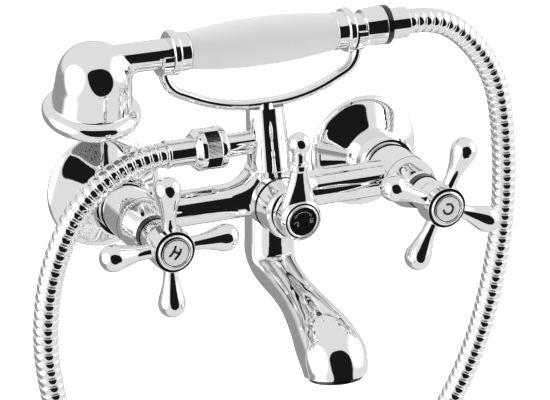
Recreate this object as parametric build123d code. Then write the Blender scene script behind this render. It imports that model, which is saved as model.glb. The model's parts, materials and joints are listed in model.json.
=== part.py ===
from build123d import *
import os
from math import atan2, cos, pi, radians, sin, sqrt, tan

# Wall-mounted bath mixer with two cross handles, a diverter lever and a handset on a cradle.
# Sizes are millimetres. X runs along the crossbar, -Y out from the wall, Z up.
# The origin is on the wall, midway between the two inlets.
# Heights are given over the valve axis, and distances out from the wall.

# Main axes
inlet_spacing = 150.0
connector_offset = 4.0
body_reach = 44.0
grip_reach = 32.5
grip_height = 80.0

# Clearances
thread_fit = 0.05
shaft_fit = 0.05
face_gap = 0.3
overrun = 1.0

# Wall connectors
wall_thread_radius = 10.48
wall_thread_length = 14.0
union_thread_radius = 13.22
collar_radius = 15.2
collar_back = 3.0
collar_thickness = 4.0
connector_front = 23.0
wall_bore = 7.5
union_bore = 9.5

# Escutcheons
rose_radius = 31.0
rose_rim = 3.0
rose_step = 1.0
rose_depth = 18.9
rose_neck = 17.2
rose_bulge = 2.0
rose_wall = 1.5

# Union nuts and washers
nut_radius = 16.5
nut_front = 31.0
nut_chamfer = 1.2
washer_thickness = 2.0
tail_flange_thickness = 3.0
tail_neck_radius = 11.5

# Body casting
housing_radius = 13.5
housing_front = 54.5
housing_round = 1.2
crossbar_radius = 9.3
horn_stations = ((24.0, 9.3, 9.3), (19.0, 10.6, 9.6), (15.0, 13.0, 10.2), (12.0, 16.0, 10.6), (4.0, 16.2, 10.6))
column_radius = 12.8
column_bottom = 24.0
column_top = 16.5
boss_radius = 14.8
boss_back = 30.5
boss_front = 59.0
boss_round = 2.0
channel_radius = 5.5
casting_wall = 3.0

# Valve headparts
valve_bore = 10.5
chamber_radius = 11.6
chamber_length = 8.0
seat_depth = 38.0
seat_bore = 5.0
tail_bore = 8.0
seal_thickness = 1.6
disc_radius = 7.1
disc_thickness = 2.4
disc_window = 2.2
foot_radius = 8.6
foot_front = 49.5
port_radius = 1.6
port_edge = 1.5
thread_length = 6.0
spanner_corner = 11.9
spanner_thickness = 3.4
neck_radius = 8.0
spindle_radius = 4.0
spindle_foot_radius = 5.4
spindle_square = 6.4

# Bonnets
bonnet_radius = 13.4
bonnet_front = 70.5
bonnet_wall = 1.2
bonnet_shoulder = 4.2
bonnet_mouth = 10.2
bonnet_lip = 1.5
ring_radius = 9.3
ring_length = 3.3

# Cross handles
hub_back = 74.4
hub_front = 99.0
hub_skirt_radius = 8.8
hub_skirt_end = 10.0
hub_skirt_blend = 4.0
hub_radius = 11.2
hub_rim_radius = 10.7
hub_swell_back = 5.0
hub_swell_front = 3.0
hub_round = 3.0
hub_edge = 0.5
shank_inset = 1.0
arm_plane = 92.0
arm_reach = 36.9
arm_neck_end = 17.0
arm_ball_radius = 6.9
arm_neck_radius = 3.7
arm_neck_blend = 30.0
arm_ball_blend = 12.0
arm_swell_end = 8.7
arm_count = 4
hot_handle_turn = 1.5
cold_handle_turn = -25.0
web_thickness = 2.0
screw_radius = 2.0
screw_head_radius = 3.6
screw_head_height = 2.4
screw_grip = 8.0
screw_slot = 1.0
screw_slot_depth = 0.8
screw_head_gap = 0.5
index_radius = 9.3
index_face_radius = 7.2
index_stand = 1.8
index_recess = 2.2
index_dish = 0.5
index_rim = 0.6
index_bevel = 0.4
index_ring_wall = 0.9

# Diverter
diverter_front = 75.0
diverter_bonnet_radius = 14.4
diverter_bonnet_round = 3.5
diverter_ring_length = 1.5
lever_back = 76.0
lever_front = 86.0
lever_base_radius = 11.3
lever_knob_height = 39.7
lever_knob_radius = 6.0
lever_knob_out = 80.8
lever_neck_half_width = 4.5
lever_neck_height = 25.5
lever_bead = 0.9
lever_bead_length = 4.5
lever_bead_round = 0.8
lever_blend = 1.5
lever_edge = 0.6
lever_web_thickness = 1.0
lever_index_radius = 8.6
lever_face_radius = 7.4
rotor_radius = 8.3
rotor_vane = 110.0
rotor_head = 2.0
rotor_fit = 0.1
bezel_stand = 0.9
lever_index_stand = 0.3

# Spout stations: distance out from the column, height, slope below level, radius
spout_wall = 2.0
spout_joint_radius = 12.8
spout_flange = 3.0
spout_spigot_radius = 8.8
spout_spigot_length = 5.0
spout_stations = (
    (0.0, -24.0, 90, 12.8),
    (0.3, -30.5, 84, 12.8),
    (6.0, -37.0, 46, 11.8),
    (19.0, -40.6, 15, 10.5),
    (37.0, -44.4, 12, 10.6),
    (55.0, -49.6, 22, 12.8),
    (69.0, -55.6, 36, 15.2),
    (77.5, -61.2, 60, 16.0),
)
mouth_radius = 16.1
mouth_tilt = 9.0
mouth_out = 81.5
mouth_height = -67.5
aerator_radius = 14.2
aerator_rim_radius = 13.8
aerator_depth = 9.0
aerator_stand = 2.6
aerator_wall = 1.6
aerator_lip = 1.4
aerator_seat = 1.0
aerator_edge = 0.6
aerator_rings = ((3.4, 5), (8.0, 10))
aerator_hole_radius = 1.0
aerator_cup_wall = 1.2
aerator_bar_width = 0.8
aerator_gasket_width = 3.0

# Cradle
post_base_radius = 11.4
post_top_radius = 9.9
post_spigot_radius = 7.5
post_spigot_length = 5.0
post_foot = 4.0
bow_drop = 32.0
bow_half_thickness = 2.7
bow_half_width = 3.5
bow_stem_radius = 4.5
bow_stem_length = 6.0
bow_stem_sink = 0.6
bow_end_draw = 1.8
bow_end_rise = 13.5
bow_end_round = 13.0
bow_flat_half = 22.0
bow_round = 85.0
fork_spacing = 108.0
fork_thickness = 4.8
fork_wall = 3.4
fork_finger = 1.0

# Shower outlet and its hose end
outlet_height = 29.5
outlet_radius = 6.1
outlet_bore = 4.2
outlet_root = 6.5
outlet_reach = 25.0
hose_thread_radius = 8.33
hose_thread_length = 11.0
hose_nut_radius = 11.0
hose_nut_length = 18.0
hose_nut_chamfer = 1.8
hose_nut_step = 0.7
hose_nut_nose = 3.0
hose_nut_overlap = 0.6
hose_thread_chamfer = 0.7
hose_washer_thickness = 1.8
hose_washer_fit = 0.2
hose_washer_bore = 4.8
ferrule_flange_thickness = 2.0
ferrule_radius = 6.9
ferrule_end = 55.0
ferrule_bead = 2.0
ferrule_bead_radius = 7.5
ferrule_bead_round = 0.7

# Handset
grip_half_length = 40.5
grip_end_radius = 9.6
grip_mid_radius = 12.6
grip_bore = 7.0
grip_spigot = 6.0
neck_tube_radius = 7.7
head_x = -89.8
ring_start = 46.4
ring_width = 4.6
grip_ring_radius = 11.6
grip_ring_round = 1.4
grip_collar_round = 1.0
grip_collar_radius = 9.9
tail_thread_start = 57.2
tail_thread_length = 6.6
supply_radius = 5.5
supply_bore = 4.2
supply_left = -70.0
supply_right = 60.0
neck_lap = 0.01

# Shower head: depths run down its axis from the grip's axis
head_tilt = 14.0
dome_radius = 21.0
dome_depth = 11.5
dome_fillet = 4.0
flare_depth = 15.6
flare_radius = 17.0
flare_angle = 36.0
brim_round = 5.0
brim_sweep = 55.0
head_wall = 1.8
spray_radius = 19.5
spray_thickness = 2.4
spray_gasket_thickness = 1.0
spray_seat_width = 2.1
spray_ledge = 1.0
spray_hole_radius = 0.9
spray_rings = ((5.0, 6), (10.0, 12), (15.0, 18))

# Hose end on the handset
cone_nut_radius = 10.3
cone_nut_length = 12.0
cone_nut_taper = 0.7
cone_nut_round = 0.6
cone_ring_length = 2.6
cone_ring_radius = 10.4
end_ferrule_radius = 8.1
end_ferrule_end = 83.2

# Hose
hose_radius = 6.5
hose_root_radius = 5.8
hose_bore = 4.0
rib_pitch = 4.85
plain_step = 12.0
hose_corner_share = 0.45
outlet_run_ribs = 36
handset_run_ribs = 54
coil_radius = 76.0
coil_pitch = 14.4
coil_out = 46.6
coil_height = -255.0
coil_half_turns = 3
tie_wall = 1.2
tie_height = 12.0

ROOM, WALL, UP = (0, -1, 0), (0, 1, 0), (0, 0, 1)
LEFT, RIGHT = (-1, 0, 0), (1, 0, 0)
hot_x, cold_x = -inlet_spacing / 2, inlet_spacing / 2


def spot(x, out, height):
    """Point at x, a distance out from the wall and a height over the valve axis."""
    return Vector(x, -out, connector_offset + height)


def seat(x, out, height, toward, across=RIGHT):
    """Placement at a spot, with its Z toward one way and its X across it."""
    return Location(Plane(origin=spot(x, out, height), x_dir=across, z_dir=toward))


def rod(place, radius, start, end):
    """Cylinder from start to end along the placement's axis."""
    lowest = (Align.CENTER, Align.CENTER, Align.MIN)
    return place * Pos(0, 0, start) * Cylinder(radius, end - start, align=lowest)


def tube(place, outer, inner, start, end):
    """Hollow cylinder from start to end along the placement's axis."""
    return rod(place, outer, start, end) - rod(place, inner, start, end)


def turned(place, *corners, arc=360):
    """Solid of revolution through (radius, distance, fillet) corners."""
    points = [(corner[0], 0, corner[1]) for corner in corners]
    rounds = [corner[2] if len(corner) > 2 else 0 for corner in corners]
    outline = FilletPolyline(*points, radius=rounds, close=True)
    return place * revolve(make_face(outline.edges()), Axis.Z, arc)


def curved(place, *lines):
    """Solid of revolution inside lines that close on one another."""
    edges = [edge for line in lines for edge in line.edges()]
    return place * revolve(make_face(edges), Axis.Z)


def at(radius, distance):
    """Profile point at a radius and a distance along the turning axis."""
    return (radius, 0, distance)


def both(make):
    """The hot and the cold copy of a piece, as separate solids of one group."""
    return Compound(children=[make(hot_x), make(cold_x)])


# Wall connectors, escutcheons and unions

tail_back = connector_front + washer_thickness
tail_front = tail_back + tail_flange_thickness
tail_radius = union_thread_radius - face_gap
housing_back = nut_front + face_gap


def wall_axis(x):
    return seat(x, 0, -connector_offset, ROOM)


def valve_axis(x):
    return seat(x, 0, 0, ROOM)


def wall_connector(x):
    collar_front = collar_back + collar_thickness
    solid = rod(wall_axis(x), wall_thread_radius, -wall_thread_length, collar_back)
    solid += rod(valve_axis(x), collar_radius, collar_back, collar_front)
    solid += rod(valve_axis(x), union_thread_radius, collar_front, connector_front)
    solid -= rod(wall_axis(x), wall_bore, -wall_thread_length, collar_front)
    return solid - rod(valve_axis(x), union_bore, collar_front - 1.0, connector_front)


def rose_form(x, inset):
    """Bell of the escutcheon, drawn in by an inset on every side but its back."""
    rim = rose_radius - inset
    neck = rose_neck - inset
    level = rose_rim - inset
    top = rose_depth - inset
    middle = at((rim - rose_step + neck) / 2 + rose_bulge, (level + top) / 2)
    return curved(
        valve_axis(x),
        Polyline(at(neck, top), at(0, top), at(0, 0), at(rim, 0), at(rim, level), at(rim - rose_step, level)),
        ThreePointArc(at(rim - rose_step, level), middle, at(neck, top)),
    )


def escutcheon(x):
    shell = rose_form(x, 0) - rose_form(x, rose_wall)
    return shell - rod(valve_axis(x), union_thread_radius + thread_fit, 0, rose_depth)


def union_nut(x):
    bore = union_thread_radius + thread_fit
    shoulder = tail_front + shaft_fit
    return turned(
        valve_axis(x),
        (bore, rose_depth + face_gap),
        (nut_radius - nut_chamfer, rose_depth + face_gap),
        (nut_radius, rose_depth + face_gap + nut_chamfer),
        (nut_radius, nut_front - nut_chamfer),
        (nut_radius - nut_chamfer, nut_front),
        (tail_neck_radius + thread_fit, nut_front),
        (tail_neck_radius + thread_fit, shoulder),
        (bore, shoulder),
    )


def union_washer(x):
    return tube(valve_axis(x), tail_radius, union_bore, connector_front, tail_back)


# Body casting

column_axis = seat(0, body_reach, 0, UP)
middle_axis = seat(0, 0, 0, ROOM)
crossbar_axis = seat(0, body_reach, 0, RIGHT, UP)
cavity_back = boss_back + casting_wall


def horn(side):
    """Flare between the crossbar and the column, raised at its top only."""
    sections = []
    for x, top, half_width in horn_stations:
        half_height = (top + crossbar_radius) / 2
        place = seat(side * x, body_reach, top - half_height, RIGHT, UP)
        sections.append(place * Ellipse(half_height, half_width))
    return loft(sections)


def valve_housing(x):
    axis = valve_axis(x)
    solid = rod(axis, tail_radius, tail_back, tail_front)
    solid += rod(axis, tail_neck_radius, tail_front, housing_back)
    return solid + turned(
        axis, (0, housing_back), (housing_radius, housing_back, housing_round), (housing_radius, housing_front),
        (0, housing_front),
    )


def valve_cavity(x):
    axis = valve_axis(x)
    chamber_back = seat_depth + casting_wall
    hollow = rod(axis, tail_bore, tail_back, seat_depth - casting_wall)
    hollow += rod(axis, seat_bore, tail_back, seat_depth)
    hollow += rod(axis, valve_bore, seat_depth, housing_front)
    return hollow + rod(axis, chamber_radius, chamber_back, chamber_back + chamber_length)


def body_casting():
    solid = rod(crossbar_axis, crossbar_radius, hot_x, cold_x)
    solid += rod(column_axis, column_radius, -column_bottom, column_top)
    solid += turned(
        middle_axis, (0, boss_back), (boss_radius, boss_back, boss_round), (boss_radius, boss_front),
        (0, boss_front),
    )
    solid += horn(-1)
    solid += horn(1)
    for x in (hot_x, cold_x):
        solid += valve_housing(x)
    for x in (hot_x, cold_x):
        solid -= valve_cavity(x)
    solid -= rod(crossbar_axis, channel_radius, hot_x, cold_x)
    solid -= rod(middle_axis, valve_bore, cavity_back, boss_front)
    solid -= rod(column_axis, channel_radius, 0, column_top)
    solid -= rod(column_axis, horn_stations[0][0], column_top, column_top + column_radius)
    spigot_bore = post_spigot_radius + thread_fit
    solid -= rod(column_axis, spigot_bore, column_top - post_spigot_length, column_top)
    return solid - rod(column_axis, spout_spigot_radius + thread_fit, -column_bottom, 0)


# Valve headparts

disc_seat = seat_depth + seal_thickness
disc_meet = disc_seat + disc_thickness
disc_front = disc_meet + disc_thickness
valve_hex = housing_front + thread_fit
valve_neck = bonnet_front + ring_length + 2 * thread_fit
hub_web = hub_front - index_recess - screw_head_height - screw_head_gap
valve_spindle_end = hub_web - web_thickness


def headpart(axis, foot, foot_back, hex_back, neck_front):
    """Screwed-in valve body with its foot, thread, spanner flats and neck."""
    hex_front = hex_back + spanner_thickness
    solid = rod(axis, foot, foot_back, hex_back)
    solid += rod(axis, valve_bore - thread_fit, hex_back - thread_length, hex_back)
    solid += extrude(axis * Pos(0, 0, hex_back) * RegularPolygon(spanner_corner, 6), spanner_thickness)
    solid += rod(axis, neck_radius, hex_front, neck_front)
    return solid - rod(axis, spindle_radius + shaft_fit, foot_back, neck_front)


def valve_body(x):
    foot_back = disc_seat + face_gap
    solid = headpart(valve_axis(x), foot_radius, foot_back, valve_hex, valve_neck)
    solid -= rod(valve_axis(x), disc_radius + shaft_fit, foot_back, foot_front)
    middle = foot_front - port_radius - port_edge
    for number in range(4):
        spoke = seat(x, middle, 0, ROOM) * Rot(0, 0, 45 + 90 * number) * Rot(0, 90, 0)
        solid -= rod(spoke, port_radius, 0, foot_radius + overrun)
    return solid


def ceramic_disc(x, radius, start, end, turn):
    """Lapped disc with two ports on a line at the given turn."""
    solid = rod(valve_axis(x), radius, start, end)
    for side in (-1, 1):
        port = valve_axis(x) * Rot(0, 0, turn) * Pos(side * disc_radius / 2, 0, 0)
        solid -= rod(port, disc_window, start, end)
    return solid


def fixed_disc(x):
    return ceramic_disc(x, disc_radius, disc_seat, disc_meet, 0)


def turning_disc(x):
    """Upper disc in the closed position, a quarter turn from the lower one."""
    return ceramic_disc(x, disc_radius - face_gap, disc_meet + shaft_fit, disc_front, 90)


def seat_gasket(x):
    return tube(valve_axis(x), disc_radius, seat_bore, seat_depth, disc_seat)


def square_shank(axis, size, start, end):
    """Square drive whose corners are turned down to about the spindle's radius."""
    block = axis * Pos(0, 0, (start + end) / 2) * Box(size, size, end - start)
    return block & rod(axis, spindle_radius + (size - spindle_square) / 2, start, end)


def spindle(axis, foot_back, foot_end, shank_back, end):
    solid = rod(axis, spindle_foot_radius, foot_back, foot_end)
    solid += rod(axis, spindle_radius, foot_end, shank_back)
    solid += square_shank(axis, spindle_square, shank_back, end)
    return solid - rod(axis, screw_radius, end - screw_grip, end)


def valve_spindle(x):
    foot_end = foot_front - face_gap
    return spindle(valve_axis(x), disc_front, foot_end, hub_back + shank_inset, valve_spindle_end)


def bonnet(axis, outline):
    """Drawn sleeve inside (radius, distance, fillet) corners that fits the headpart's neck."""
    back, front = outline[0][1], outline[-1][1]
    solid = turned(axis, (0, back), *outline, (0, front))
    inside = [
        (radius - bonnet_wall, max(back, distance - bonnet_wall), max(0, fillet - bonnet_wall))
        for radius, distance, fillet in outline
    ]
    solid -= turned(axis, (0, back), *inside, (0, front - bonnet_wall))
    return solid - rod(axis, neck_radius + thread_fit, back, front)


def valve_bonnet(x):
    """Sleeve that narrows from a soft shoulder towards the black ring."""
    back = housing_front + face_gap
    outline = (
        (bonnet_radius, back, 0),
        (bonnet_radius, back + bonnet_shoulder, 10 * bonnet_wall),
        (bonnet_mouth, bonnet_front - bonnet_lip, bonnet_wall),
        (bonnet_mouth - bonnet_lip / 2, bonnet_front, 0),
    )
    return bonnet(valve_axis(x), outline)


def bonnet_ring(x):
    start = bonnet_front + thread_fit
    return tube(valve_axis(x), ring_radius, neck_radius + thread_fit, start, start + ring_length)


# Cross handles


def arm(place):
    """Pear-shaped arm that swells from its neck to a round end."""
    return turned(
        place,
        (0, hub_radius / 2),
        (arm_neck_radius, hub_radius / 2),
        (arm_neck_radius, arm_neck_end, arm_neck_blend),
        (arm_ball_radius, arm_reach - arm_swell_end, arm_ball_blend),
        (arm_ball_radius, arm_reach, arm_ball_radius - 0.1),
        (0, arm_reach),
    )


def drive_hole(axis, back, shank_back, end, web, front):
    """Spindle drive, screw hole and screw-head recess of a handle."""
    hollow = rod(axis, spindle_radius + shaft_fit, back, shank_back)
    hollow += square_shank(axis, spindle_square + shaft_fit, back, end)
    hollow += rod(axis, screw_radius + shaft_fit, end, web)
    return hollow + rod(axis, screw_head_radius + shaft_fit, web, front)


def cross_handle(x, turn):
    axis = valve_axis(x)
    solid = turned(
        axis,
        (0, hub_back),
        (hub_skirt_radius, hub_back, hub_edge),
        (hub_skirt_radius, arm_plane - hub_skirt_end, hub_skirt_blend),
        (hub_radius, arm_plane - hub_swell_back, hub_round),
        (hub_radius, arm_plane + hub_swell_front, hub_round),
        (hub_rim_radius, hub_front, hub_edge / 2),
        (0, hub_front),
    )
    for number in range(arm_count):
        angle = radians(turn + number * 360 / arm_count)
        solid += arm(seat(x, arm_plane, 0, (cos(angle), 0, sin(angle)), ROOM))
    solid -= drive_hole(axis, hub_back, hub_back + shank_inset, valve_spindle_end, hub_web, hub_front)
    recess = index_radius + index_ring_wall
    return solid - rod(axis, recess, hub_front - index_recess, hub_front)


def handle_screw(axis, web):
    """Cheese-head screw with a slot."""
    head_front = web + screw_head_height
    solid = rod(axis, screw_head_radius, web, head_front)
    solid += rod(axis, screw_radius - shaft_fit, web - screw_grip, web)
    return solid - axis * Pos(0, 0, head_front) * Box(2 * screw_head_radius, screw_slot, 2 * screw_slot_depth)


def index_cap(x):
    """Enamelled cap with a raised rim, pressed into the hub."""
    radius = index_radius - shaft_fit
    front = hub_front + index_stand
    return turned(
        valve_axis(x),
        (0, hub_front - index_recess),
        (radius, hub_front - index_recess),
        (radius, front - index_bevel),
        (index_face_radius + index_rim, front),
        (index_face_radius, front - index_dish),
        (0, front - index_dish),
    )


def index_ring(x):
    outer = index_radius + index_ring_wall - shaft_fit
    return tube(valve_axis(x), outer, index_radius, hub_front - index_recess, hub_front - index_dish)


# Diverter

diverter_hex = boss_front + thread_fit
diverter_neck = lever_back - face_gap
rotor_back = cavity_back + face_gap
rotor_front = foot_front
lever_web = lever_front - index_recess - screw_head_height - screw_head_gap
lever_spindle_end = lever_web - lever_web_thickness
lever_sections = (
    (1.0, lever_base_radius - 0.4, 4.4),
    (10.0, 8.7, 4.3),
    (18.0, 6.1, 4.1),
    (lever_neck_height, lever_neck_half_width, 3.9),
)


def diverter_body():
    """Cartridge sleeve with windows for the two feeds and the two outlets."""
    sleeve = valve_bore - thread_fit
    solid = headpart(middle_axis, sleeve, rotor_back, diverter_hex, diverter_neck)
    solid -= rod(middle_axis, rotor_radius + rotor_fit, rotor_back, rotor_front + face_gap)
    solid -= rod(crossbar_axis, channel_radius, -sleeve - overrun, sleeve + overrun)
    return solid - rod(column_axis, channel_radius, -sleeve - overrun, sleeve + overrun)


def diverter_rotor():
    """Vane on the lever's spindle that closes one outlet."""
    back = rotor_back + face_gap
    vane_start = middle_axis * Rot(0, 0, 90 - rotor_vane / 2)
    solid = turned(
        vane_start, (0, back), (rotor_radius, back), (rotor_radius, rotor_front), (0, rotor_front),
        arc=rotor_vane,
    )
    solid += rod(middle_axis, rotor_radius, rotor_front - rotor_head, rotor_front)
    return solid + spindle(middle_axis, back, rotor_front, lever_back - rotor_fit, lever_spindle_end)


def diverter_bonnet():
    back = boss_front + diverter_ring_length + 2 * thread_fit
    radius = diverter_bonnet_radius
    return bonnet(middle_axis, ((radius, back, 0), (radius, diverter_front, diverter_bonnet_round)))


def diverter_ring():
    start = boss_front + thread_fit
    outer = diverter_bonnet_radius - face_gap
    return tube(middle_axis, outer, spanner_corner + face_gap, start, start + diverter_ring_length)


def lever_blade():
    """Lever that narrows upwards from the hub to the knob's neck, and leans only clear of the bonnet."""
    middle = (lever_back + lever_front) / 2
    straight = diverter_bonnet_radius + face_gap
    sections = []
    for height, half_width, half_depth in lever_sections:
        lean_share = max(0, height - straight) / (lever_neck_height - straight)
        out = middle + (lever_knob_out - middle) * lean_share
        sections.append(seat(0, out, height, UP) * Ellipse(half_width, half_depth))
    return loft(sections)


def lever_knob():
    """Beaded neck with a ball."""
    axis = seat(0, lever_knob_out, 0, UP)
    stem = lever_neck_half_width - lever_bead
    bead = lever_neck_half_width + lever_bead
    ball_foot = lever_knob_height - lever_knob_radius + lever_bead_round
    bead_top = lever_neck_height + lever_bead_length
    solid = turned(
        axis,
        (0, lever_neck_height - lever_bead_round / 2),
        (stem, lever_neck_height - lever_bead_round / 2),
        (bead, lever_neck_height + lever_bead, lever_bead_round),
        (bead, bead_top - lever_bead, lever_bead_round),
        (stem, bead_top + lever_bead / 2, lever_bead_round / 2),
        (stem, ball_foot),
        (0, ball_foot),
    )
    return solid + axis * Pos(0, 0, lever_knob_height) * Sphere(lever_knob_radius)


def diverter_lever():
    solid = turned(
        middle_axis,
        (0, lever_back),
        (lever_base_radius - lever_blend, lever_back, lever_edge),
        (lever_base_radius, lever_back + 1.5 * lever_blend, lever_blend),
        (lever_base_radius, lever_front - 1.5 * lever_blend, lever_blend),
        (lever_index_radius + 1.6 * lever_edge, lever_front, lever_edge),
        (0, lever_front),
    )
    solid += lever_blade()
    solid += lever_knob()
    solid -= drive_hole(
        middle_axis, lever_back, lever_back, lever_spindle_end, lever_web, lever_front
    )
    clear_front = lever_front + lever_base_radius
    recess = rod(middle_axis, lever_index_radius + shaft_fit, lever_front - index_recess, clear_front)
    return solid - recess


def lever_bezel():
    """Bright ring round the lever's index."""
    return turned(
        middle_axis,
        (lever_face_radius, lever_front - index_recess),
        (lever_index_radius, lever_front - index_recess),
        (lever_index_radius, lever_front + bezel_stand / 3),
        (lever_face_radius + bezel_stand / 2, lever_front + bezel_stand),
        (lever_face_radius, lever_front + 2 * bezel_stand / 3),
    )


def lever_index():
    back = lever_front - index_recess
    return rod(middle_axis, lever_face_radius - shaft_fit, back, lever_front + lever_index_stand)


# Spout

mouth_toward = (0, -sin(radians(mouth_tilt)), -cos(radians(mouth_tilt)))
mouth_axis = seat(0, body_reach + mouth_out, mouth_height, mouth_toward)


def spout_form(inset):
    """Swelling neck of the spout, drawn in by a wall for its waterway."""
    sections = []
    for out, height, slope, radius in spout_stations:
        downstream = (0, -cos(radians(slope)), -sin(radians(slope)))
        place = seat(0, body_reach + out, height, downstream)
        sections.append(place * Circle(radius - inset))
    sections.append(mouth_axis * Circle(mouth_radius - inset))
    return loft(sections)


def spout():
    joint_front = -column_bottom - spout_flange
    spigot_top = spout_spigot_length - column_bottom
    solid = spout_form(0) - spout_form(spout_wall)
    solid += rod(column_axis, spout_joint_radius, joint_front, -column_bottom)
    solid += rod(column_axis, spout_spigot_radius, joint_front, spigot_top)
    solid -= rod(column_axis, spout_spigot_radius - spout_wall, joint_front, spigot_top)
    return solid - rod(mouth_axis, aerator_radius + thread_fit, -aerator_depth, overrun)


def aerator_housing():
    bore = aerator_radius - aerator_wall
    lip = aerator_rim_radius - aerator_wall
    return turned(
        mouth_axis,
        (bore, aerator_seat - aerator_depth),
        (aerator_radius, aerator_seat - aerator_depth),
        (aerator_radius, 0),
        (aerator_rim_radius, 0),
        (aerator_rim_radius, aerator_stand, aerator_edge),
        (lip, aerator_stand),
        (lip, aerator_stand - aerator_lip),
        (bore, aerator_stand - aerator_lip),
    )


def aerator_insert():
    """Perforated cup that mixes air into the stream."""
    radius = aerator_radius - aerator_wall - thread_fit
    inner = radius - aerator_cup_wall
    back = aerator_seat - aerator_depth
    front = aerator_stand - aerator_lip - 2 * thread_fit
    floor = back + aerator_wall
    solid = turned(
        mouth_axis, (0, back), (radius, back), (radius, front), (inner, front), (inner, floor),
        (0, floor),
    )
    for ring, count in aerator_rings:
        for number in range(count):
            hole = mouth_axis * Rot(0, 0, number * 360 / count) * Pos(ring, 0, 0)
            solid -= rod(hole, aerator_hole_radius, back, floor)
    for number in range(3):
        bar = mouth_axis * Rot(0, 0, number * 60) * Pos(0, 0, front - aerator_cup_wall)
        solid += bar * Box(2 * radius - aerator_cup_wall, aerator_bar_width, aerator_cup_wall)
    return solid


def aerator_gasket():
    inner = aerator_radius - aerator_gasket_width
    return tube(mouth_axis, aerator_radius, inner, -aerator_depth, aerator_seat - aerator_depth)


# Cradle: its post leans back to point at the handset's axis

lean = atan2(body_reach - grip_reach, grip_height - column_top)
lean_toward = Vector(0, sin(lean), cos(lean))
post_axis = seat(0, body_reach, column_top, lean_toward)
upright_axis = seat(0, body_reach, column_top, UP)
bow_level = (grip_height - column_top) / cos(lean) - bow_drop
stem_top = bow_level - bow_half_thickness + bow_stem_sink
fork_inner_radius = neck_tube_radius + face_gap
outlet_out = body_reach - (outlet_height - column_top) * tan(lean)
outlet_axis = seat(0, outlet_out, outlet_height, LEFT, UP)


def bow_bar():
    """Oval bar that bows under the handset from fork to fork."""
    half = fork_spacing / 2
    fork_foot = bow_drop - fork_inner_radius - fork_wall / 2
    corners = ((half, fork_foot), (half - bow_end_draw, bow_end_rise), (bow_flat_half, 0.0))
    left = [(-x, rise) for x, rise in corners]
    points = [
        spot(x, body_reach, column_top) + lean_toward * (bow_level + rise)
        for x, rise in left + list(corners[::-1])
    ]
    path = FilletPolyline(*points, radius=[bow_end_round, bow_round, bow_round, bow_end_round])
    across = lean_toward.cross(Vector(*RIGHT))
    start = Plane(origin=points[0], x_dir=across, z_dir=points[1] - points[0])
    return sweep(start * Ellipse(bow_half_width, bow_half_thickness), path)


def fork(side):
    """Upright open ring that the handset's neck drops into."""
    outer = fork_inner_radius + fork_wall
    face = seat(side * fork_spacing / 2 - fork_thickness / 2, grip_reach, grip_height, RIGHT, WALL)
    ring = Circle(outer) + Pos(0, fork_finger / 2) * Rectangle(2 * outer, fork_finger)
    ring -= Circle(fork_inner_radius)
    ring -= Pos(0, fork_finger + outer / 2) * Rectangle(3 * outer, outer)
    ring -= Pos(0, outer / 2) * Rectangle(2 * fork_inner_radius, outer)
    return extrude(face * ring, fork_thickness)


def cradle_bow():
    solid = bow_bar() + fork(-1) + fork(1)
    return solid + rod(post_axis, bow_stem_radius, stem_top - bow_stem_length + face_gap, bow_level)


def cradle_post():
    solid = turned(
        post_axis, (0, -post_foot), (post_base_radius, -post_foot), (post_top_radius, stem_top),
        (0, stem_top),
    )
    solid &= rod(upright_axis, 3 * post_base_radius, 0, 3 * stem_top)
    solid += rod(upright_axis, post_spigot_radius, -post_spigot_length, overrun)
    solid -= rod(post_axis, bow_stem_radius + thread_fit, stem_top - bow_stem_length, stem_top)
    solid -= rod(upright_axis, outlet_bore, -post_spigot_length, outlet_height - column_top)
    solid -= rod(outlet_axis, outlet_bore, 0, outlet_root)
    solid -= rod(outlet_axis, outlet_radius + thread_fit, outlet_root, 2 * post_base_radius)
    return solid - bow_bar()


# Shower outlet and the hose end on it

hose_nut_back = outlet_reach - hose_nut_overlap
hose_nut_front = hose_nut_back + hose_nut_length
hose_thread_front = outlet_reach + hose_thread_length
hose_washer_front = hose_thread_front + hose_washer_thickness
ferrule_shoulder = hose_washer_front + ferrule_flange_thickness
hose_start = ferrule_end + ferrule_bead


def hose_thread(axis, start, end):
    """Thread cylinder with chamfered ends."""
    edge = hose_thread_radius - hose_thread_chamfer
    return turned(
        axis,
        (0, start),
        (edge, start),
        (hose_thread_radius, start + hose_thread_chamfer),
        (hose_thread_radius, end - hose_thread_chamfer),
        (edge, end),
        (0, end),
    )


def outlet_nipple():
    solid = rod(outlet_axis, outlet_radius, outlet_root, outlet_reach)
    solid += hose_thread(outlet_axis, outlet_reach, hose_thread_front)
    return solid - rod(outlet_axis, outlet_bore, outlet_root, hose_thread_front)


def hose_nut():
    solid = turned(
        outlet_axis,
        (0, hose_nut_back),
        (hose_nut_radius - hose_nut_chamfer, hose_nut_back),
        (hose_nut_radius, hose_nut_back + hose_nut_chamfer),
        (hose_nut_radius, hose_nut_front - hose_nut_nose),
        (hose_nut_radius - hose_nut_step, hose_nut_front - hose_nut_nose),
        (hose_nut_radius - hose_nut_step - hose_nut_nose / 2, hose_nut_front),
        (0, hose_nut_front),
    )
    solid -= rod(outlet_axis, hose_thread_radius + thread_fit, hose_nut_back, ferrule_shoulder)
    return solid - rod(outlet_axis, ferrule_radius + thread_fit, ferrule_shoulder, hose_nut_front)


def hose_washer(axis, start):
    outer = hose_thread_radius - hose_washer_fit
    return tube(axis, outer, hose_washer_bore, start, start + hose_washer_thickness)


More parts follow.
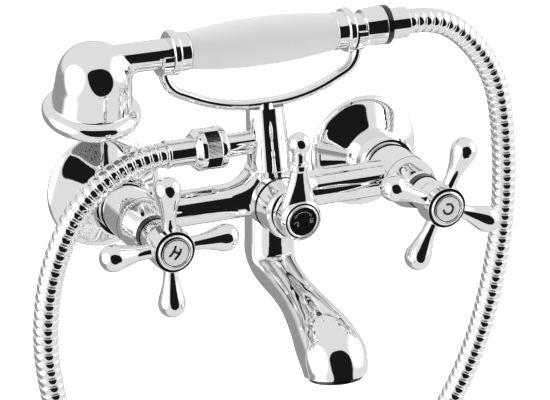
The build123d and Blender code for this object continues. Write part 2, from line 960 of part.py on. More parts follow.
def outlet_ferrule():
    solid = rod(outlet_axis, hose_thread_radius - thread_fit, hose_washer_front, ferrule_shoulder)
    solid += rod(outlet_axis, ferrule_radius, ferrule_shoulder, ferrule_end)
    solid += turned(
        outlet_axis,
        (0, ferrule_end),
        (ferrule_bead_radius, ferrule_end, ferrule_bead_round),
        (ferrule_bead_radius, hose_start, ferrule_bead_round),
        (0, hose_start),
    )
    return solid - rod(outlet_axis, hose_bore, hose_washer_front, hose_start)


# Handset

grip_axis = seat(0, grip_reach, grip_height, RIGHT, ROOM)
head_down = (0, sin(radians(head_tilt)), -cos(radians(head_tilt)))
head_axis = seat(head_x, grip_reach, grip_height, head_down)
ring_end = ring_start + ring_width
tail_end = tail_thread_start + tail_thread_length
cone_nut_end = tail_thread_start + cone_nut_length
cone_shoulder = tail_end + hose_washer_thickness + ferrule_flange_thickness
cone_ring_end = cone_nut_end + 2 * thread_fit + cone_ring_length
flare, brim_end = radians(flare_angle), radians(brim_sweep)
flare_end_radius = dome_radius + flare_radius * (1 - cos(flare))
flare_end_depth = flare_depth + flare_radius * sin(flare)
brim_centre_radius = flare_end_radius - brim_round * cos(flare)
brim_centre_depth = flare_end_depth + brim_round * sin(flare)
head_depth = brim_centre_depth + brim_round * sin(brim_end)
plate_back = head_depth - spray_thickness
gasket_back = plate_back - spray_gasket_thickness


def ceramic_grip():
    end, middle = grip_end_radius, grip_mid_radius
    half = grip_half_length
    return curved(
        grip_axis,
        ThreePointArc(at(end, -half), at(middle, 0), at(end, half)),
        Polyline(at(end, half), at(grip_bore, half), at(grip_bore, -half), at(end, -half)),
    )


def grip_mount(axis, neck_end):
    """Collar and ring at one end of the grip, with a spigot inside it and a neck beyond."""
    return turned(
        axis,
        (0, grip_half_length - grip_spigot),
        (grip_bore - thread_fit, grip_half_length - grip_spigot),
        (grip_bore - thread_fit, grip_half_length),
        (grip_collar_radius, grip_half_length, grip_collar_round),
        (grip_collar_radius, ring_start),
        (grip_ring_radius, ring_start, grip_ring_round),
        (grip_ring_radius, ring_end, grip_ring_round),
        (neck_tube_radius, ring_end),
        (neck_tube_radius, neck_end),
        (0, neck_end),
    )


def head_ferrule():
    axis = seat(0, grip_reach, grip_height, LEFT, ROOM)
    solid = grip_mount(axis, ring_end + neck_lap)
    return solid - rod(axis, supply_radius + shaft_fit, 0, ring_end + overrun)


def tail_ferrule():
    solid = grip_mount(grip_axis, tail_thread_start)
    solid += hose_thread(grip_axis, tail_thread_start, tail_end)
    solid -= rod(grip_axis, supply_radius + shaft_fit, 0, supply_right)
    return solid - rod(grip_axis, supply_bore, supply_right, tail_end)


def supply_tube():
    return tube(grip_axis, supply_radius, supply_bore, supply_left, supply_right)


def bell(inset):
    """Outline of the shower head: a dome, a flaring skirt and a rounded brim."""
    dome = dome_radius - inset
    curl = flare_radius + inset
    brim = brim_round - inset
    flare_axis = dome_radius + flare_radius

    def on_flare(angle):
        return at(flare_axis - curl * cos(angle), flare_depth + curl * sin(angle))

    def on_brim(angle):
        return at(brim_centre_radius + brim * cos(angle), brim_centre_depth - brim * sin(angle))

    top = at(0, dome_depth - dome)
    shoulder = at(dome * sqrt(0.5), dome_depth - dome * sqrt(0.5))
    waist = at(dome, dome_depth)
    lip = on_brim(-brim_end)
    return curved(
        head_axis,
        ThreePointArc(top, shoulder, waist),
        Line(waist, on_flare(0)),
        ThreePointArc(on_flare(0), on_flare(flare / 2), on_flare(flare)),
        ThreePointArc(on_brim(flare), on_brim(0), lip),
        Polyline(lip, at(0, lip[2]), top),
    )


def head_form():
    """Bell with its neck blended into the dome."""
    dome = bell(0)
    neck = rod(grip_axis, neck_tube_radius, head_x, -ring_end - shaft_fit)
    solid = dome + neck
    return fillet(new_edges(dome, neck, combined=solid), dome_fillet)


def shower_head():
    seat_radius = spray_radius - spray_seat_width
    ledge = gasket_back - spray_ledge
    hollow = bell(head_wall) - rod(head_axis, brim_centre_radius + brim_round, ledge, head_depth)
    solid = head_form() - hollow
    solid -= rod(head_axis, seat_radius, ledge - overrun, head_depth)
    solid -= rod(head_axis, spray_radius + thread_fit, gasket_back, head_depth)
    solid -= rod(grip_axis, supply_bore, head_x, supply_left)
    return solid - rod(grip_axis, supply_radius + shaft_fit, supply_left, -ring_end)


def spray_plate():
    """Perforated face of the shower head."""
    solid = rod(head_axis, spray_radius, plate_back, head_depth)
    for ring, count in spray_rings:
        for number in range(count):
            hole = head_axis * Rot(0, 0, number * 360 / count) * Pos(ring, 0, 0)
            solid -= rod(hole, spray_hole_radius, plate_back, head_depth)
    return solid


def spray_gasket():
    return tube(head_axis, spray_radius, spray_radius - spray_seat_width, gasket_back, plate_back)


def handset_nut():
    """Slightly conical nut that joins the hose to the handset."""
    solid = turned(
        grip_axis,
        (0, tail_thread_start),
        (cone_nut_radius - cone_nut_taper, tail_thread_start, cone_nut_round),
        (cone_nut_radius, cone_nut_end, cone_nut_round),
        (0, cone_nut_end),
    )
    solid -= rod(grip_axis, hose_thread_radius + thread_fit, tail_thread_start, cone_shoulder)
    return solid - rod(grip_axis, ferrule_radius + thread_fit, cone_shoulder, cone_nut_end)


def handset_ferrule():
    flange_back = tail_end + hose_washer_thickness
    solid = rod(grip_axis, hose_thread_radius - thread_fit, flange_back, cone_shoulder)
    solid += rod(grip_axis, ferrule_radius, cone_shoulder, cone_ring_end)
    solid += turned(
        grip_axis,
        (0, cone_ring_end),
        (end_ferrule_radius, cone_ring_end, cone_nut_round),
        (end_ferrule_radius, end_ferrule_end, cone_nut_round),
        (0, end_ferrule_end),
    )
    return solid - rod(grip_axis, hose_bore, flange_back, end_ferrule_end)


def connector_ring():
    start = cone_nut_end + thread_fit
    end = cone_ring_end - thread_fit
    return tube(grip_axis, cone_ring_radius, ferrule_radius + thread_fit, start, end)


# Hose: x, distance out and height of the points on its two free runs

coil_end_out = coil_out - coil_half_turns * coil_pitch / 2
outlet_run_route = (
    (-hose_start, outlet_out, outlet_height),
    (-80.6, outlet_out, outlet_height),
    (-101.1, 41.8, 17.7),
    (-114.2, 42.0, -1.7),
    (-122.0, 42.2, -34.0),
    (-123.4, 42.6, -79.0),
    (-107.5, 44.4, -139.0),
    (-coil_radius, coil_out, -201.0),
    (-coil_radius, coil_out, coil_height),
)
handset_run_route = (
    (end_ferrule_end, grip_reach, grip_height),
    (106.8, grip_reach, grip_height),
    (127.3, 32.3, 68.2),
    (139.2, 32.1, 47.8),
    (145.8, 31.8, 8.0),
    (144.8, 30.8, -45.7),
    (134.6, 29.6, -99.5),
    (116.3, 27.6, -146.5),
    (coil_radius, coil_end_out, -205.0),
    (coil_radius, coil_end_out, coil_height),
)


def hose_path(name, route):
    """Straight runs joined by arcs as large as the runs allow."""
    points = [spot(*place) for place in route]
    radii = []
    for before, corner, after in zip(points, points[1:], points[2:]):
        turn = radians((corner - before).get_angle(after - corner))
        shorter = min((corner - before).length, (after - corner).length)
        radii.append(hose_corner_share * shorter / tan(turn / 2))
    print(name, "radii", [round(radius, 1) for radius in radii])
    return FilletPolyline(*points, radius=radii)


def skin(path, rings):
    """Ruled loft through circles, each at a distance along the path."""
    sections = []
    for distance, radius in rings:
        share = min(distance / path.length, 1.0)
        place = Plane(origin=path @ share, x_dir=ROOM, z_dir=path % share)
        sections.append(place * Circle(radius))
    return loft(sections, ruled=True)


def hose_run(name, route, rib_count):
    """Hose with its bore, ribbed for the stretch nearest its fitting."""
    path = hose_path(name, route)
    rings = [(0.0, hose_radius)]
    for number in range(rib_count):
        start = 2 * hose_radius + number * rib_pitch
        rings += [
            (start, hose_root_radius),
            (start + 0.2 * rib_pitch, hose_radius),
            (start + 0.7 * rib_pitch, hose_radius),
            (start + 0.9 * rib_pitch, hose_root_radius),
        ]
    ribs_end = 2 * hose_radius + rib_count * rib_pitch
    rest = path.length - ribs_end
    steps = int(rest // plain_step)
    plain = [ribs_end + rest * step / steps for step in range(steps + 1)]
    rings += [(distance, hose_radius) for distance in plain]
    bore_steps = int(path.length // plain_step)
    bore = [(path.length * step / bore_steps, hose_bore) for step in range(bore_steps + 1)]
    solid = skin(path, rings) - skin(path, bore)
    wall_area = pi * (hose_radius**2 - hose_bore**2)
    print(name, "length", round(path.length, 1))
    print(name, "volume over plain tube", round(solid.volume / (wall_area * path.length), 3))
    return solid


def coil_arcs():
    """Half turns of the coil, each a flat arc whose ends run straight up and down."""
    arcs = []
    quarter = coil_pitch / 4
    reach = sqrt(coil_radius**2 + quarter**2)
    for number in range(coil_half_turns):
        side = -1 if number % 2 == 0 else 1
        out = coil_out - number * coil_pitch / 2
        arcs.append(
            ThreePointArc(
                spot(side * coil_radius, out, coil_height),
                spot(0, out - quarter, coil_height + side * reach),
                spot(-side * coil_radius, out - 2 * quarter, coil_height),
            )
        )
    return arcs


def coil_gap(arcs):
    """Least gap between turns, on points at least half a turn apart."""
    points = [arc @ (step / 24) for arc in arcs for step in range(24)]
    far = 24
    least = min(
        (first - second).length
        for place, first in enumerate(points)
        for second in points[place + far:]
    )
    return least - 2 * hose_radius


def hose_coil():
    arcs = coil_arcs()
    path = Wire([edge for arc in arcs for edge in arc.edges()])
    start = Plane(origin=path @ 0, x_dir=ROOM, z_dir=path % 0)
    solid = sweep(start * (Circle(hose_radius) - Circle(hose_bore)), path)
    wall_area = pi * (hose_radius**2 - hose_bore**2)
    print("coil length", round(path.length, 1), "least gap", round(coil_gap(arcs), 2))
    print("coil volume over plain tube", round(solid.volume / (wall_area * path.length), 3))
    return solid


def hose_tie():
    """Flat band that holds the turns where the hose leaves the coil."""
    inner = hose_radius + face_gap
    place = seat(coil_radius, coil_end_out + coil_pitch / 2, coil_height - tie_height / 2, UP, WALL)
    band = SlotCenterToCenter(coil_pitch, 2 * (inner + tie_wall))
    band -= SlotCenterToCenter(coil_pitch, 2 * inner)
    return extrude(place * band, tie_height)


PARTS = {
    "body_casting": body_casting(),
    "spout": spout(),
    "aerator_housing": aerator_housing(),
    "aerator_insert": aerator_insert(),
    "aerator_gasket": aerator_gasket(),
    "hot_wall_connector": wall_connector(hot_x),
    "cold_wall_connector": wall_connector(cold_x),
    "hot_escutcheon": escutcheon(hot_x),
    "cold_escutcheon": escutcheon(cold_x),
    "hot_union_nut": union_nut(hot_x),
    "cold_union_nut": union_nut(cold_x),
    "union_washers": both(union_washer),
    "hot_valve_body": valve_body(hot_x),
    "cold_valve_body": valve_body(cold_x),
    "fixed_ceramic_discs": both(fixed_disc),
    "seat_gaskets": both(seat_gasket),
    "hot_bonnet": valve_bonnet(hot_x),
    "cold_bonnet": valve_bonnet(cold_x),
    "bonnet_rings": both(bonnet_ring),
    "hot_handle": cross_handle(hot_x, hot_handle_turn),
    "hot_spindle": valve_spindle(hot_x),
    "hot_turning_disc": turning_disc(hot_x),
    "hot_handle_screw": handle_screw(valve_axis(hot_x), hub_web),
    "hot_index_ring": index_ring(hot_x),
    "hot_index_cap": index_cap(hot_x),
    "cold_handle": cross_handle(cold_x, cold_handle_turn),
    "cold_spindle": valve_spindle(cold_x),
    "cold_turning_disc": turning_disc(cold_x),
    "cold_handle_screw": handle_screw(valve_axis(cold_x), hub_web),
    "cold_index_ring": index_ring(cold_x),
    "cold_index_cap": index_cap(cold_x),
    "diverter_body": diverter_body(),
    "diverter_rotor": diverter_rotor(),
    "diverter_bonnet": diverter_bonnet(),
    "diverter_ring": diverter_ring(),
    "diverter_lever": diverter_lever(),
    "diverter_screw": handle_screw(middle_axis, lever_web),
    "lever_bezel": lever_bezel(),
    "lever_index": lever_index(),
    "cradle_post": cradle_post(),
    "cradle_bow": cradle_bow(),
    "outlet_nipple": outlet_nipple(),
    "hose_nut": hose_nut(),
    "outlet_washer": hose_washer(outlet_axis, hose_thread_front),
    "outlet_ferrule": outlet_ferrule(),
    "ceramic_grip": ceramic_grip(),
    "head_ferrule": head_ferrule(),
    "tail_ferrule": tail_ferrule(),
    "supply_tube": supply_tube(),
    "shower_head": shower_head(),
    "spray_plate": spray_plate(),
    "spray_gasket": spray_gasket(),
    "handset_nut": handset_nut(),
    "handset_washer": hose_washer(grip_axis, tail_end),
    "handset_ferrule": handset_ferrule(),
    "connector_ring": connector_ring(),
    "hose_outlet_run": hose_run("outlet run", outlet_run_route, outlet_run_ribs),
    "hose_coil": hose_coil(),
    "hose_handset_run": hose_run("handset run", handset_run_route, handset_run_ribs),
    "hose_tie": hose_tie(),
}

os.makedirs("parts", exist_ok=True)
for name, shape in PARTS.items():
    export_step(shape, f"parts/{name}.step")
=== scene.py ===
import json
from math import cos, pi, radians, sin, tan

import bmesh
import bpy
from bpy.props import FloatProperty, FloatVectorProperty, IntProperty, PointerProperty
from bpy.types import Operator, Panel, PropertyGroup
from mathutils import Matrix, Vector


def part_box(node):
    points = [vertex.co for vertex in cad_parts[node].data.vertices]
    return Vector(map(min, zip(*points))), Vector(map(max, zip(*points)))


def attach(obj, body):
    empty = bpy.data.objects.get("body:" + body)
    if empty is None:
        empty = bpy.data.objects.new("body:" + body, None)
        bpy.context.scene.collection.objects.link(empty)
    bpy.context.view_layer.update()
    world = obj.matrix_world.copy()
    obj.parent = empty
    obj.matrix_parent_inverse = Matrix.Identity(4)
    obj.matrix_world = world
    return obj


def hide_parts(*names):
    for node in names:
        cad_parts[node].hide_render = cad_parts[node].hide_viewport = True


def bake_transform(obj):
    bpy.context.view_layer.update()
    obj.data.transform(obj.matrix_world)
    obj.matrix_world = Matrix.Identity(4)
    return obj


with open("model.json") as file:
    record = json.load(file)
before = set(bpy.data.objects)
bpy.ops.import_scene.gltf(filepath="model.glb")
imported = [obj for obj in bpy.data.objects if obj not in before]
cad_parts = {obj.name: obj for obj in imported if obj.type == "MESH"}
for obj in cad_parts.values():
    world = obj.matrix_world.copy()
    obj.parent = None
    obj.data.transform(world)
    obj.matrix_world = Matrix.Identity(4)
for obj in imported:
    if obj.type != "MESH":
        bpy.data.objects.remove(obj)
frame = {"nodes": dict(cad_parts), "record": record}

bl_info = {
    "name": "Bath mixer",
    "version": (1, 0, 0),
    "blender": (4, 5, 0),
    "location": "View3D > Sidebar > Bath mixer",
    "description": "Dresses a wall-mounted bath mixer with its hose, indexes, finishes and studio",
    "category": "Object",
}

# The frame has X along the crossbar, -Y out from the wall and Z up, in metres.
# Heights below are given over the valve axis, as in the part's source.
VALVE_HEIGHT = 0.004
VALVE_X = 0.075
ACROSS = Vector((1, 0, 0))
ROOM = Vector((0, -1, 0))
UPWARDS = Vector((0, 0, 1))

# Camera, fitted to the photograph
CAMERA_TARGET = Vector((0.0052, -0.0400, -0.00095))
CAMERA_TOWARD = Vector((-0.3841, -0.8546, 0.3494))
CAMERA_DISTANCE = 1.45
CAMERA_LENS = 182.6
SENSOR_WIDTH = 36.0

# Hose routes: x, distance out from the wall, height over the valve axis
HOSE_DIAMETER = 0.013
COIL_RADIUS = 0.076
COIL_HEIGHT = -0.255
COIL_START_OUT = 0.0466
COIL_END_OUT = 0.0250
COIL_TURNS = 1.5
COIL_POINTS_PER_TURN = 14
OUTLET_ROUTE = (
    (-0.0570, 0.04165, 0.0295),
    (-0.0700, 0.04165, 0.0295),
    (-0.0912, 0.04170, 0.0196),
    (-0.1069, 0.04190, 0.0037),
    (-0.1182, 0.04210, -0.0199),
    (-0.1237, 0.04230, -0.0472),
    (-0.1234, 0.04260, -0.0800),
    (-0.1120, 0.04440, -0.1320),
    (-0.0760, 0.04660, -0.2010),
    (-0.0760, 0.04660, -0.2550),
)
HANDSET_ROUTE = (
    (0.0832, 0.03250, 0.0800),
    (0.0994, 0.03250, 0.0803),
    (0.1172, 0.03230, 0.0703),
    (0.1352, 0.03210, 0.0482),
    (0.1425, 0.03190, 0.0231),
    (0.1463, 0.03140, -0.0219),
    (0.1428, 0.03050, -0.0670),
    (0.1323, 0.02910, -0.1138),
    (0.1130, 0.02740, -0.1550),
    (0.0760, 0.02500, -0.2060),
    (0.0760, 0.02500, -0.2550),
)
SPLINE_STEPS = 40


def spot(x, out, height):
    """Point of the frame at x, a distance out from the wall and a height over the valve axis."""
    return Vector((x, -out, VALVE_HEIGHT + height))


# Sizes and colours that a user would change


class MixerSettings(PropertyGroup):
    rib_pitch: FloatProperty(
        name="Rib pitch", description="Distance from rib to rib of the hose", default=0.0045,
        min=0.002, max=0.01, unit="LENGTH",
    )
    rib_depth: FloatProperty(
        name="Rib depth", description="Depth of the grooves between the hose's ribs", default=0.0009,
        min=0.0002, max=0.002, unit="LENGTH",
    )
    knurl_teeth: IntProperty(
        name="Knurl teeth", description="Ridges round the hose nut's grip", default=96, min=24, max=160,
    )
    knurl_depth: FloatProperty(
        name="Knurl depth", description="Depth of the grooves of the hose nut's grip", default=0.0003,
        min=0.0001, max=0.001, unit="LENGTH",
    )
    letter_height: FloatProperty(
        name="Letter height", description="Height of the letters on the index caps", default=0.0066,
        min=0.002, max=0.008, unit="LENGTH",
    )
    letter_stroke: FloatProperty(
        name="Letter stroke", description="Width of the letters' strokes", default=0.00125,
        min=0.0003, max=0.002, unit="LENGTH",
    )
    chrome_colour: FloatVectorProperty(
        name="Chrome", description="Tint of the chromed pieces", subtype="COLOR", size=4,
        default=(0.90, 0.905, 0.91, 1.0), min=0.0, max=1.0,
    )
    ceramic_colour: FloatVectorProperty(
        name="Ceramic", description="Glaze of the handset's grip", subtype="COLOR", size=4,
        default=(0.96, 0.96, 0.955, 1.0), min=0.0, max=1.0,
    )
    enamel_colour: FloatVectorProperty(
        name="Enamel", description="Face of the index caps", subtype="COLOR", size=4,
        default=(0.90, 0.90, 0.90, 1.0), min=0.0, max=1.0,
    )
    black_colour: FloatVectorProperty(
        name="Black", description="Black rings, lettering and the lever's index", subtype="COLOR", size=4,
        default=(0.006, 0.006, 0.006, 1.0), min=0.0, max=1.0,
    )
    floor_colour: FloatVectorProperty(
        name="Floor", description="Colour of the studio floor", subtype="COLOR", size=4,
        default=(0.93, 0.93, 0.93, 1.0), min=0.0, max=1.0,
    )
    studio_light: FloatProperty(
        name="Studio light", description="Brightness of the softboxes", default=1.8, min=0.1, max=8.0,
    )


# Materials

GRAIN_DETAIL = 3.0
RELIEF_DEPTH = 0.0002


def new_tree(material):
    material.use_nodes = True
    material.node_tree.nodes.clear()
    return material.node_tree


def add_node(tree, kind, **inputs):
    """New node with its unlinked sockets set by name."""
    node = tree.nodes.new(kind)
    for name, value in inputs.items():
        node.inputs[name].default_value = value
    return node


def surface(name, colour, roughness, spread, grain, relief, metallic=0.0, coat=0.0):
    """Principled material whose roughness and relief vary with a noise of so many grains a metre."""
    material = bpy.data.materials.new(name)
    tree = new_tree(material)
    place = tree.nodes.new("ShaderNodeTexCoord")
    noise = add_node(tree, "ShaderNodeTexNoise", Scale=grain, Detail=GRAIN_DETAIL)
    band = tree.nodes.new("ShaderNodeMapRange")
    band.inputs["To Min"].default_value = max(0.0, roughness - spread)
    band.inputs["To Max"].default_value = roughness + spread
    bump = add_node(tree, "ShaderNodeBump", Strength=relief, Distance=RELIEF_DEPTH)
    shader = add_node(tree, "ShaderNodeBsdfPrincipled", Metallic=metallic)
    shader.inputs["Base Color"].default_value = colour
    shader.inputs["Coat Weight"].default_value = coat
    shader.inputs["Coat Roughness"].default_value = roughness / 2
    output = tree.nodes.new("ShaderNodeOutputMaterial")
    tree.links.new(place.outputs["Object"], noise.inputs["Vector"])
    tree.links.new(noise.outputs["Fac"], band.inputs["Value"])
    tree.links.new(band.outputs["Result"], shader.inputs["Roughness"])
    tree.links.new(noise.outputs["Fac"], bump.inputs["Height"])
    tree.links.new(bump.outputs["Normal"], shader.inputs["Normal"])
    tree.links.new(shader.outputs["BSDF"], output.inputs["Surface"])
    return material


def chrome(name, settings):
    return surface(
        name, settings.chrome_colour, metallic=1.0,
        roughness=0.025, spread=0.012, grain=900.0, relief=0.02,
    )


def hose_metal(name, settings):
    return surface(
        name, settings.chrome_colour, metallic=1.0,
        roughness=0.06, spread=0.03, grain=1400.0, relief=0.05,
    )


def brass(name, settings):
    return surface(
        name, (0.72, 0.50, 0.22, 1.0), metallic=1.0,
        roughness=0.28, spread=0.08, grain=600.0, relief=0.1,
    )


def steel(name, settings):
    return surface(
        name, (0.55, 0.55, 0.56, 1.0), metallic=1.0,
        roughness=0.24, spread=0.06, grain=900.0, relief=0.1,
    )


def glazed_ceramic(name, settings):
    return surface(
        name, settings.ceramic_colour,
        roughness=0.42, spread=0.05, grain=120.0, relief=0.03,
    )


def valve_ceramic(name, settings):
    return surface(
        name, (0.82, 0.81, 0.77, 1.0),
        roughness=0.35, spread=0.05, grain=800.0, relief=0.05,
    )


def rubber(name, settings):
    return surface(
        name, (0.012, 0.012, 0.012, 1.0),
        roughness=0.55, spread=0.1, grain=1500.0, relief=0.3,
    )


def black_plastic(name, settings):
    return surface(
        name, settings.black_colour, coat=0.4,
        roughness=0.18, spread=0.05, grain=1100.0, relief=0.06,
    )


def grey_plastic(name, settings):
    return surface(
        name, (0.18, 0.18, 0.19, 1.0),
        roughness=0.42, spread=0.08, grain=1000.0, relief=0.12,
    )


def enamel(name, settings):
    return surface(
        name, settings.enamel_colour, coat=0.6,
        roughness=0.2, spread=0.04, grain=700.0, relief=0.04,
    )


def printed_grey(name, settings):
    return surface(
        name, (0.30, 0.30, 0.30, 1.0),
        roughness=0.4, spread=0.05, grain=900.0, relief=0.04,
    )


def floor_paper(name, settings):
    paper = surface(
        name, settings.floor_colour,
        roughness=0.7, spread=0.1, grain=40.0, relief=0.02,
    )
    shader = next(node for node in paper.node_tree.nodes if node.type == "BSDF_PRINCIPLED")
    shader.inputs["Emission Color"].default_value = settings.floor_colour
    shader.inputs["Emission Strength"].default_value = FLOOR_GLOW
    return paper


FINISHES = {
    "chrome": chrome,
    "hose_metal": hose_metal,
    "brass": brass,
    "steel": steel,
    "rubber": rubber,
    "black_plastic": black_plastic,
    "grey_plastic": grey_plastic,
    "valve_ceramic": valve_ceramic,
    "white_ceramic": glazed_ceramic,
    "enamel": enamel,
    "printed_grey": printed_grey,
}


def finish(name):
    """The named finish, made once."""
    label = "mixer " + name
    if label not in bpy.data.materials:
        FINISHES[name](label, bpy.context.scene.bath_mixer)
    return bpy.data.materials[label]


# Shapes

SHARP_ANGLE = radians(38.0)
WELD = 1e-7
TURNED_SIDES = 96
ARC_POINTS = 33
CORNER_CUT = 0.25


def linked(name, data):
    """New object of the scene that holds this data."""
    made = bpy.data.objects.new(name, data)
    bpy.context.scene.collection.objects.link(made)
    return made


def one_material(mesh, material):
    """Gives every face of a mesh the same material."""
    mesh.materials.clear()
    mesh.materials.append(material)
    for face in mesh.polygons:
        face.material_index = 0


def shaded_object(name, mesh, material, smooth=True):
    """Object of a mesh, with its corners sharp and one material."""
    for face in mesh.polygons:
        face.use_smooth = smooth
    mesh.set_sharp_from_angle(angle=SHARP_ANGLE)
    one_material(mesh, material)
    return linked(name, mesh)


def mesh_object(name, vertices, faces, material, smooth=True):
    """Object of points and faces, welded and facing outwards."""
    mesh = bpy.data.meshes.new(name)
    shape = bmesh.new()
    points = [shape.verts.new(vertex) for vertex in vertices]
    for face in faces:
        shape.faces.new([points[corner] for corner in face])
    bmesh.ops.remove_doubles(shape, verts=shape.verts, dist=WELD)
    bmesh.ops.recalc_face_normals(shape, faces=shape.faces)
    shape.to_mesh(mesh)
    shape.free()
    return shaded_object(name, mesh, material, smooth)


def ring_angles(sides):
    """Angles of the points of a ring."""
    return [2 * pi * step / sides for step in range(sides)]


def ring_point(axis, radius, angle, distance):
    """Point round an axis placement, at a distance along it."""
    return axis @ Vector((radius * cos(angle), radius * sin(angle), distance))


def ring_faces(rings, sides, closed=False):
    """Quads between rings of points, and also from the last ring to the first if closed."""
    faces = []
    for ring in range(rings if closed else rings - 1):
        low, high = ring * sides, (ring + 1) % rings * sides
        for step in range(sides):
            after = (step + 1) % sides
            faces.append((low + step, low + after, high + after, high + step))
    return faces


def lathe(axis, profile, sides, closed=False):
    """Vertices and faces of a turned shape: (radius, distance) pairs about an axis placement."""
    vertices = []
    for radius, distance in profile:
        vertices += [ring_point(axis, radius, angle, distance) for angle in ring_angles(sides)]
    return vertices, ring_faces(len(profile), sides, closed)


def turned_piece(name, axis, profile, finish_name, sides=TURNED_SIDES, closed=False):
    vertices, faces = lathe(axis, profile, sides, closed)
    return mesh_object(name, vertices, faces, finish(finish_name))


def arc_points(radius, start, end, count=ARC_POINTS):
    turns = [start + (end - start) * step / (count - 1) for step in range(count)]
    return [Vector((radius * cos(turn), radius * sin(turn))) for turn in turns]


def rounded(profile, rounds):
    """Profile with its corners cut again and again, which leaves its two ends in place."""
    for _ in range(rounds):
        cut = []
        for start, end in zip(profile, profile[1:]):
            for share in (CORNER_CUT, 1 - CORNER_CUT):
                cut.append(tuple(a * (1 - share) + b * share for a, b in zip(start, end)))
        profile = [profile[0], *cut, profile[-1]]
    return profile


def way_along(value, start, end):
    """Share of the way from start to end, never less than nought or more than one."""
    return min(1.0, max(0.0, (value - start) / (end - start)))


def smooth_share(share):
    """A share of the way, with a gentle start and end."""
    return share * share * (3 - 2 * share)


def eased(before, start, end, after, share):
    """Point between two stations on a smooth line that also heeds their neighbours."""
    point = []
    for a, b, c, d in zip(before, start, end, after):
        pull = (c - a) * share
        bend = (2 * a - 5 * b + 4 * c - d) * share ** 2
        twist = (3 * b - a - 3 * c + d) * share ** 3
        point.append(0.5 * (2 * b + pull + bend + twist))
    return tuple(point)


def toward(origin, way, up):
    """Placement whose Z points one way and whose Y is as near as can be to another."""
    z = way.normalized()
    x = up.cross(z).normalized()
    return Matrix.Translation(origin) @ Matrix((x, z.cross(x), z)).transposed().to_4x4()


def ride_as(piece, body, slot_name, *nodes):
    """Seats a finished piece on its body, in place of CAD nodes."""
    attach(piece, body)
    if nodes:
        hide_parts(*nodes)
    return piece


# Hoses

# One rib of the wound strip: share of the pitch, share of the rib's depth
RIB_PROFILE = (
    (0.00, 0.00), (0.05, 0.05), (0.10, 0.55), (0.16, 0.86), (0.26, 0.98),
    (0.50, 1.00), (0.74, 0.98), (0.84, 0.86), (0.90, 0.55), (0.95, 0.05),
)
HOSE_SIDES = 36
NO_LENGTH = 1e-12


def route_line(name, points):
    """Even points along the smooth NURBS line that has the route's points as control points."""
    curve = bpy.data.curves.new(name, "CURVE")
    curve.dimensions = "3D"
    curve.resolution_u = SPLINE_STEPS
    spline = curve.splines.new("NURBS")
    spline.points.add(len(points) - 1)
    for knot, point in zip(spline.points, points):
        knot.co = (*point, 1.0)
    spline.order_u = 3
    spline.use_endpoint_u = True
    guide = linked(name, curve)
    bpy.context.view_layer.update()
    graph = bpy.context.evaluated_depsgraph_get()
    traced = bpy.data.meshes.new_from_object(guide.evaluated_get(graph))
    line = [vertex.co.copy() for vertex in traced.vertices]
    bpy.data.meshes.remove(traced)
    bpy.data.objects.remove(guide)
    bpy.data.curves.remove(curve)
    return line


def spaced(line, distances):
    """Points of a line at ascending distances along it."""
    found, index, passed = [], 0, 0.0
    leg = (line[1] - line[0]).length
    for distance in distances:
        while passed + leg < distance and index < len(line) - 2:
            passed += leg
            index += 1
            leg = (line[index + 1] - line[index]).length
        share = min(1.0, (distance - passed) / max(leg, NO_LENGTH))
        found.append(line[index].lerp(line[index + 1], share))
    return found


def line_length(line):
    return sum((b - a).length for a, b in zip(line, line[1:]))


def ribbed_hose(name, line, settings):
    """Wound metal hose along a line, and the ring centres that it follows."""
    length = line_length(line)
    ribs = round(length / settings.rib_pitch)
    pitch = length / ribs
    stations = [(number + share) * pitch for number in range(ribs) for share, _ in RIB_PROFILE]
    heights = [height for _ in range(ribs) for _, height in RIB_PROFILE]
    centres = spaced(line, [*stations, length])
    vertices = []
    side = -ROOM
    for index, (centre, height) in enumerate(zip(centres, [*heights, 0.0])):
        ahead = centres[min(index + 1, len(centres) - 1)] - centres[max(index - 1, 0)]
        along = ahead.normalized()
        side = (side - along * side.dot(along)).normalized()
        other = along.cross(side)
        radius = HOSE_DIAMETER / 2 - settings.rib_depth * (1.0 - height)
        for angle in ring_angles(HOSE_SIDES):
            vertices.append(centre + (side * cos(angle) + other * sin(angle)) * radius)
    faces = ring_faces(len(centres), HOSE_SIDES)
    return mesh_object(name, vertices, faces, finish("hose_metal")), centres


def coil_points():
    """Control points of the coil: corners round its circle, drifting towards the wall."""
    count = round(COIL_TURNS * COIL_POINTS_PER_TURN)
    half = pi / COIL_POINTS_PER_TURN
    reach = COIL_RADIUS / cos(half)
    points = []
    for number in range(count):
        angle = pi + half * (2 * number + 1)
        out = COIL_START_OUT + (COIL_END_OUT - COIL_START_OUT) * (number + 0.5) / count
        points.append(spot(reach * cos(angle), out, COIL_HEIGHT + reach * sin(angle)))
    return points


class MIXER_OT_outlet_hose(Operator):
    """Winds the ribbed hose from the shower outlet into its coil"""
    bl_idname = "mixer.outlet_hose"
    bl_label = "Outlet hose and coil"

    def execute(self, context):
        points = [spot(*point) for point in OUTLET_ROUTE] + coil_points()
        points.append(spot(COIL_RADIUS, COIL_END_OUT, COIL_HEIGHT))
        line = route_line("outlet hose line", points)
        hose, centres = ribbed_hose("outlet_hose", line, context.scene.bath_mixer)
        ride_as(hose, "mixer", "hose_metal", "hose_outlet_run", "hose_coil")
        return {"FINISHED"}


class MIXER_OT_handset_hose(Operator):
    """Winds the ribbed hose from the coil up to the handset"""
    bl_idname = "mixer.handset_hose"
    bl_label = "Handset hose"

    def execute(self, context):
        points = [spot(*point) for point in HANDSET_ROUTE]
        line = route_line("handset hose line", points)
        hose, centres = ribbed_hose("handset_hose", line, context.scene.bath_mixer)
        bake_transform(hose)
        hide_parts("hose_handset_run")
        return {"FINISHED"}


# Hose nut

